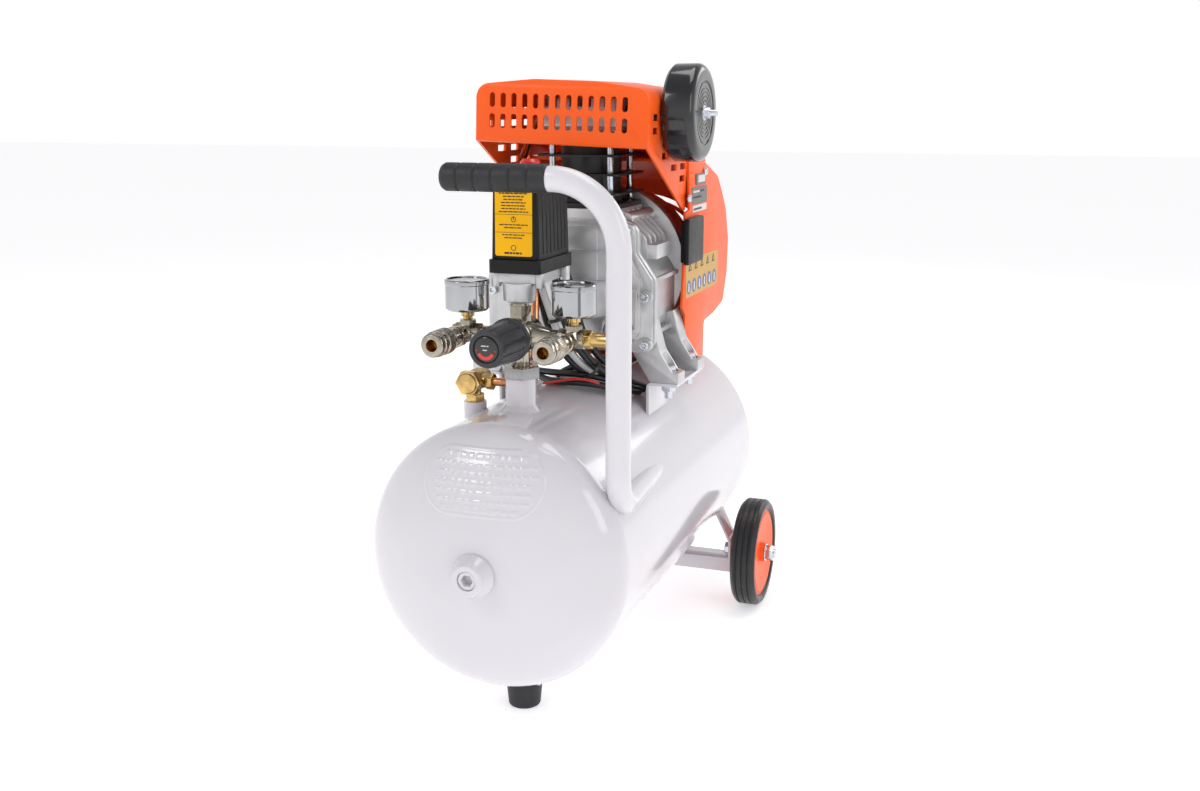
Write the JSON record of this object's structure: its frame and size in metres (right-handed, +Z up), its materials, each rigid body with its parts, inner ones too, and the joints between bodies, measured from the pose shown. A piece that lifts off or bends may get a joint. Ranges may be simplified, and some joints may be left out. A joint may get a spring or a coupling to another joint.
{
  "type": "air compressor",
  "caption": "Portable oil-lubricated air compressor: horizontal tank on wheels, direct-drive piston pump under a hood, side handle, pressure switch, regulator and quick couplers.",
  "frame": {"origin": "on the floor, under the middle of the tank", "axes": "+Z up; -Y towards the front end with the controls; +X towards the side with the handle's upright and the air filter"},
  "size_m": [0.3496, 0.5976, 0.6095],
  "materials": {
    "tank_paint": "gloss white enamel",
    "handle_paint": "gloss white powder coat",
    "cast_aluminium": "raw die cast, satin",
    "fin_black": "black heat-resisting paint",
    "zinc_steel": "bright zinc plate",
    "dark_steel": "machined",
    "nickel": "nickel plate",
    "chrome": "polished chrome",
    "brass": "satin brass",
    "copper": "bare copper tube",
    "winding": "enamelled copper windings in a laminated core",
    "orange_plastic": "satin gloss orange",
    "black_plastic": "fine grain",
    "filter_black": "gloss black",
    "red_plastic": "gloss red",
    "rubber": "satin",
    "tyre": "ribbed",
    "dial_white": "printed white",
    "lens": "clear",
    "filter_foam": "open foam",
    "cable": "pvc sheath"
  },
  "bodies": {
    "compressor": {"tank_shell": "tank_paint", "tank_dome_front": "tank_paint", "tank_dome_rear": "tank_paint", "inspection_plugs": "tank_paint", "drain_valve": "brass", "wheel_brackets": "tank_paint", "axle_hardware": "zinc_steel", "front_foot_bracket": "tank_paint", "front_foot": "rubber", "handle_tube": "handle_paint", "handle_grip": "rubber", "regulator_block": "nickel", "outlet_tees": "nickel", "gauge_cases": "chrome", "gauge_dials": "dial_white", "gauge_lenses": "lens", "coupler_bodies": "nickel", "safety_valve": "brass", "switch_mount": "cast_aluminium", "switch_base": "black_plastic", "switch_cover": "black_plastic", "check_valve": "brass", "copper_pipe": "copper", "pump_rails": "tank_paint", "mount_bolts": "zinc_steel", "crankcase": "cast_aluminium", "crankcase_cover": "cast_aluminium", "cover_screws": "zinc_steel", "oil_sight_glass": "red_plastic", "cylinder": "fin_black", "valve_plate": "dark_steel", "cylinder_head": "cast_aluminium", "head_studs": "zinc_steel", "shaft_bearings": "dark_steel", "motor_stator": "winding", "motor_end_shield": "cast_aluminium", "hood": "orange_plastic", "fan_shroud": "orange_plastic", "capacitor_box": "black_plastic", "filter_housing": "filter_black", "filter_element": "filter_foam", "filter_stud": "zinc_steel", "motor_cable": "cable"},
    "wheel_left": {"tyre_left": "tyre", "hub_left": "orange_plastic"},
    "wheel_right": {"tyre_right": "tyre", "hub_right": "orange_plastic"},
    "regulator_knob": {"regulator_knob": "black_plastic"},
    "switch_knob": {"switch_knob": "red_plastic"},
    "needle_left": {"needle_left": "black_plastic"},
    "needle_right": {"needle_right": "black_plastic"},
    "coupler_sleeve_left": {"coupler_sleeve_left": "nickel"},
    "coupler_sleeve_right": {"coupler_sleeve_right": "nickel"},
    "safety_stem": {"safety_ring": "zinc_steel"},
    "drain_screw": {"drain_screw": "brass"},
    "crank_assembly": {"crankshaft": "dark_steel", "motor_rotor": "dark_steel", "cooling_fan": "black_plastic"},
    "piston_assembly": {"piston": "cast_aluminium", "con_rod": "cast_aluminium"}
  },
  "joints": [
    {"name": "wheel_left_spin", "type": "hinge", "parent": "compressor", "child": "wheel_left", "pos_m": [-0.1485, 0.161, 0.0615], "axis": [1, 0, 0], "continuous": true},
    {"name": "wheel_right_spin", "type": "hinge", "parent": "compressor", "child": "wheel_right", "pos_m": [0.1485, 0.161, 0.0615], "axis": [1, 0, 0], "continuous": true},
    {"name": "regulator_turn", "type": "hinge", "parent": "compressor", "child": "regulator_knob", "pos_m": [0, -0.22, 0.364], "axis": [0, -1, 0], "range_deg": [-720, 720]},
    {"name": "switch_pull", "type": "slide", "parent": "compressor", "child": "switch_knob", "axis": [0, 0, 1], "range_m": [0, 0.008]},
    {"name": "gauge_left_needle", "type": "hinge", "parent": "compressor", "child": "needle_left", "pos_m": [-0.0525, -0.173, 0.41], "axis": [0, 0, -1], "range_deg": [0, 270]},
    {"name": "gauge_right_needle", "type": "hinge", "parent": "compressor", "child": "needle_right", "pos_m": [0.0525, -0.173, 0.41], "axis": [0, 0, -1], "range_deg": [0, 270]},
    {"name": "coupler_left_release", "type": "slide", "parent": "compressor", "child": "coupler_sleeve_left", "axis": [0, 1, 0], "range_m": [0, 0.003], "stiffness_N_per_m": 1500, "springref_m": -0.004},
    {"name": "coupler_right_release", "type": "slide", "parent": "compressor", "child": "coupler_sleeve_right", "axis": [0, 1, 0], "range_m": [0, 0.003], "stiffness_N_per_m": 1500, "springref_m": -0.004},
    {"name": "safety_pull", "type": "slide", "parent": "compressor", "child": "safety_stem", "axis": [1, 0, 0], "range_m": [0, 0.003], "stiffness_N_per_m": 2500, "springref_m": -0.004},
    {"name": "drain_turn", "type": "hinge", "parent": "compressor", "child": "drain_screw", "pos_m": [0, 0, 0.03], "axis": [0, 0, -1], "range_deg": [0, 720]},
    {"name": "crank_turn", "type": "hinge", "parent": "compressor", "child": "crank_assembly", "pos_m": [0, 0.06, 0.4], "axis": [0, 1, 0], "continuous": true},
    {"name": "piston_stroke", "type": "slide", "parent": "compressor", "child": "piston_assembly", "axis": [0, 0, 1], "range_m": [-0.038, 0]}
  ]
}
